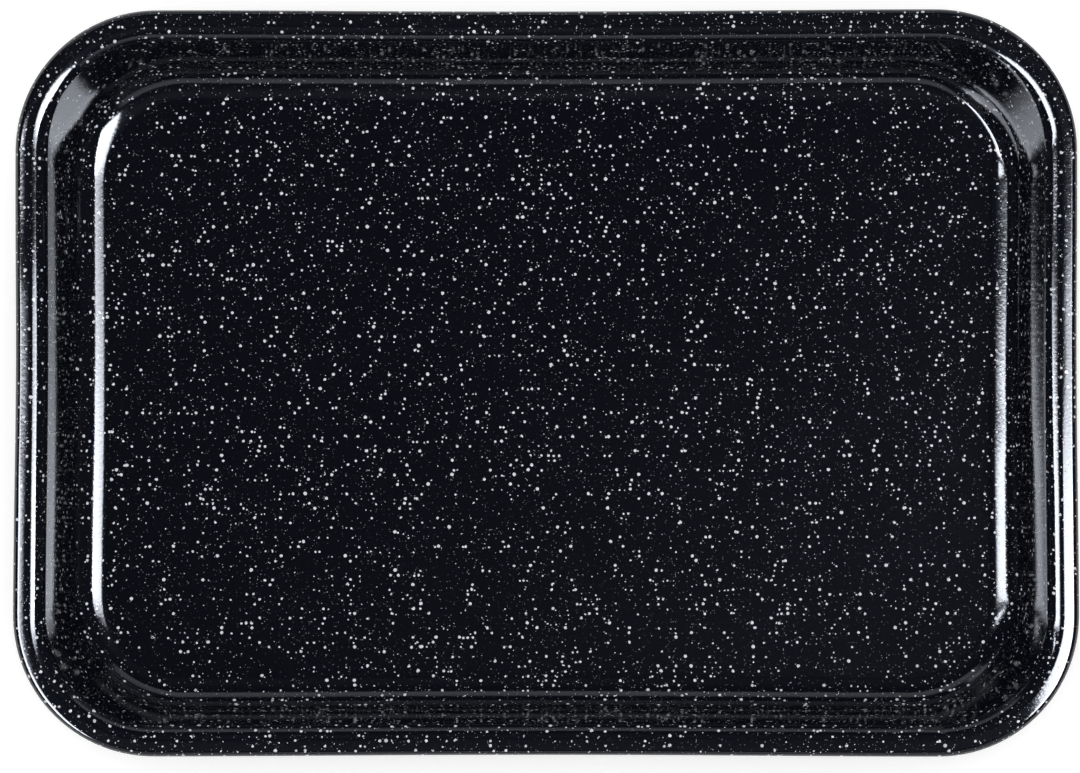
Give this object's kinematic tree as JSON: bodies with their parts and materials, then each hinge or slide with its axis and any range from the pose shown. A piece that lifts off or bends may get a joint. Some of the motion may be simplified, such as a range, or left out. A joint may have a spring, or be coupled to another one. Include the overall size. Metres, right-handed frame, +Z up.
{
  "type": "oven dish",
  "caption": "Shallow rectangular oven dish in speckled black enamelled steel, with rounded corners, leaning walls and a narrow flange ending in a curled edge.",
  "frame": {"origin": "centre of the flat base, on the surface that the dish stands on", "axes": "+X along the length, +Y along the width, +Z up through the open top"},
  "size_m": [0.37, 0.26, 0.047],
  "materials": {
    "enamel": "gloss vitreous enamel, black with fine white specks"
  },
  "bodies": {
    "root": {"dish": "enamel"}
  },
  "joints": []
}
